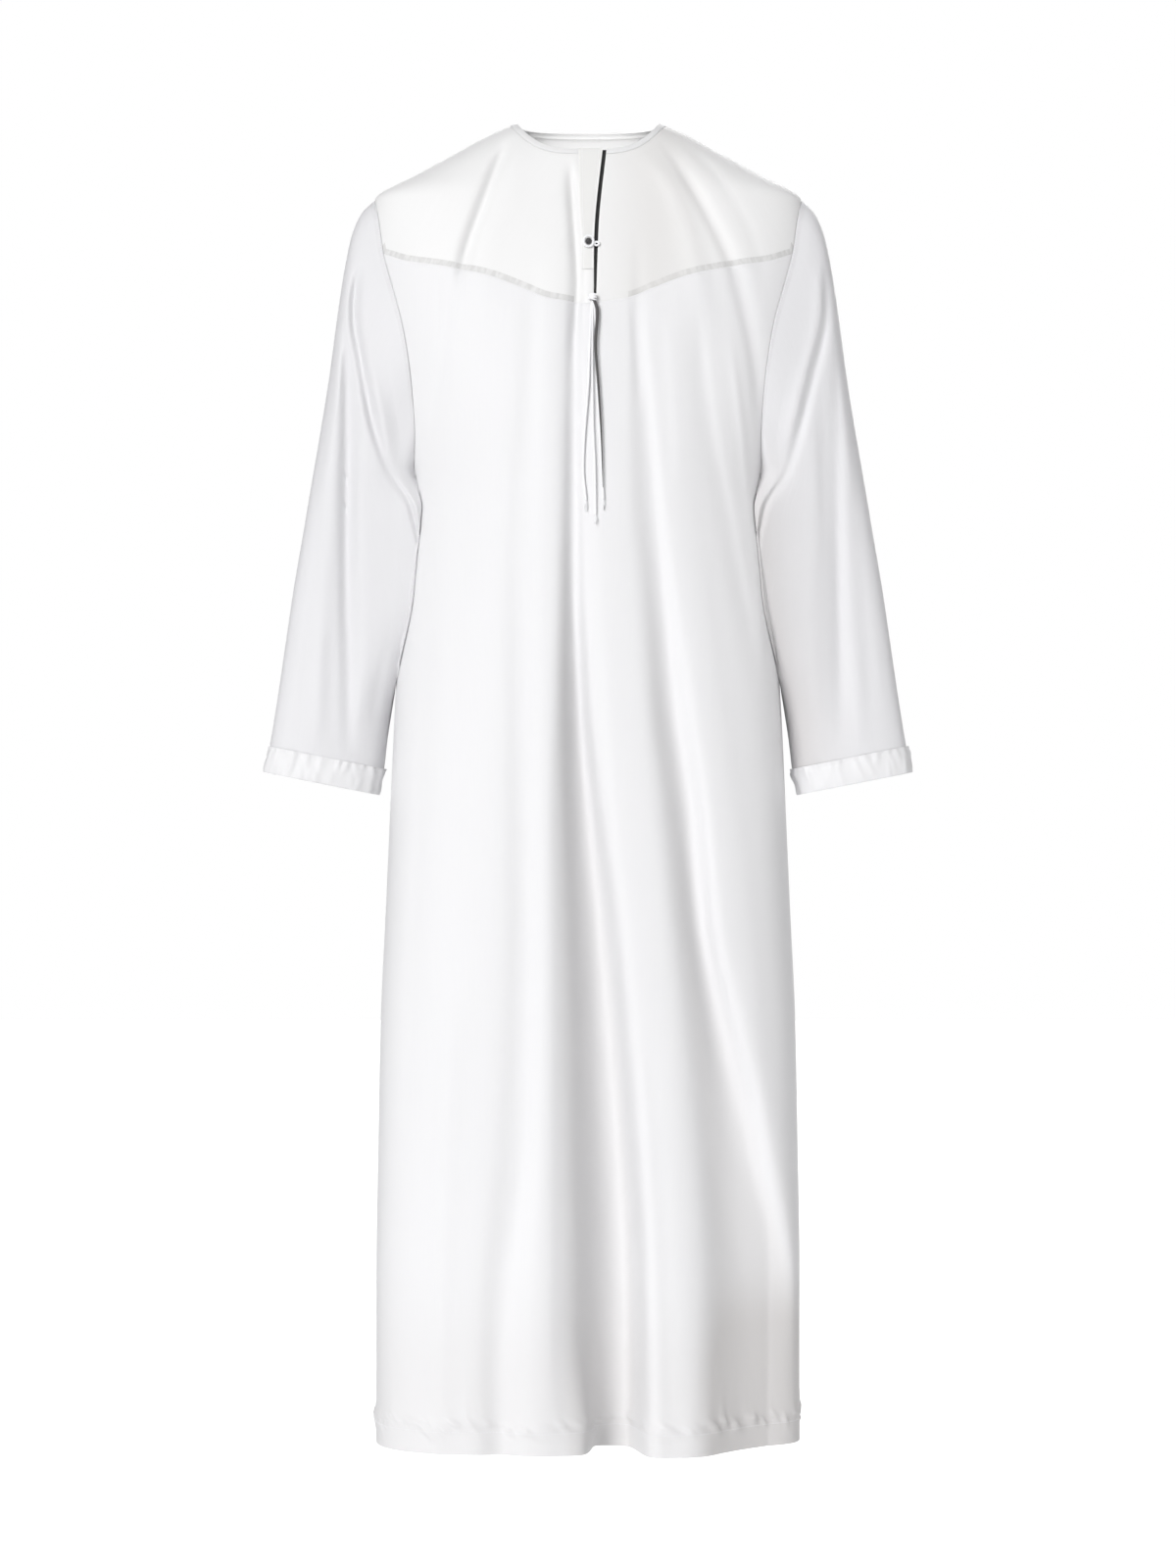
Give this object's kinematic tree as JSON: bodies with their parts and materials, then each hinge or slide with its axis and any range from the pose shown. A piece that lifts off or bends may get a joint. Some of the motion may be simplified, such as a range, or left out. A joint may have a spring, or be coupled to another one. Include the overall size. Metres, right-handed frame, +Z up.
{
  "type": "long sleeved robe",
  "caption": "Long white robe without a collar, hollow as worn, with a V-shaped front yoke, neck slit with loop and tassel, long sleeves with cuffs and a level hem.",
  "frame": {"origin": "midway between the two neck points, level with the top of the shoulders, where the wearer's shoulders carry the robe", "axes": "+Z up, from hem to neck; the front faces -Y; the wearer's left is +X"},
  "size_m": [0.706, 0.319, 1.4301],
  "materials": {
    "cloth": "fine plain weave, slightly see-through, soft satin lustre",
    "doubled_cloth": "the same cloth in two layers, less see-through",
    "placket_cloth": "matte folded cloth, a little greyer",
    "dark_tape": "matte dark tape in the slit",
    "cord": "twisted white cord",
    "dark_button": "small dark ball"
  },
  "bodies": {
    "root": {"front_panel": "cloth", "back_panel": "cloth", "sleeve_left": "cloth", "sleeve_right": "cloth", "front_yoke_left": "doubled_cloth", "front_yoke_right": "doubled_cloth", "back_yoke": "doubled_cloth", "cuff_left": "doubled_cloth", "cuff_right": "doubled_cloth", "neck_binding": "doubled_cloth", "placket_strip": "placket_cloth", "placket_underlap": "dark_tape", "button_loop": "cord", "tassel": "cord", "button": "dark_button"}
  },
  "joints": []
}
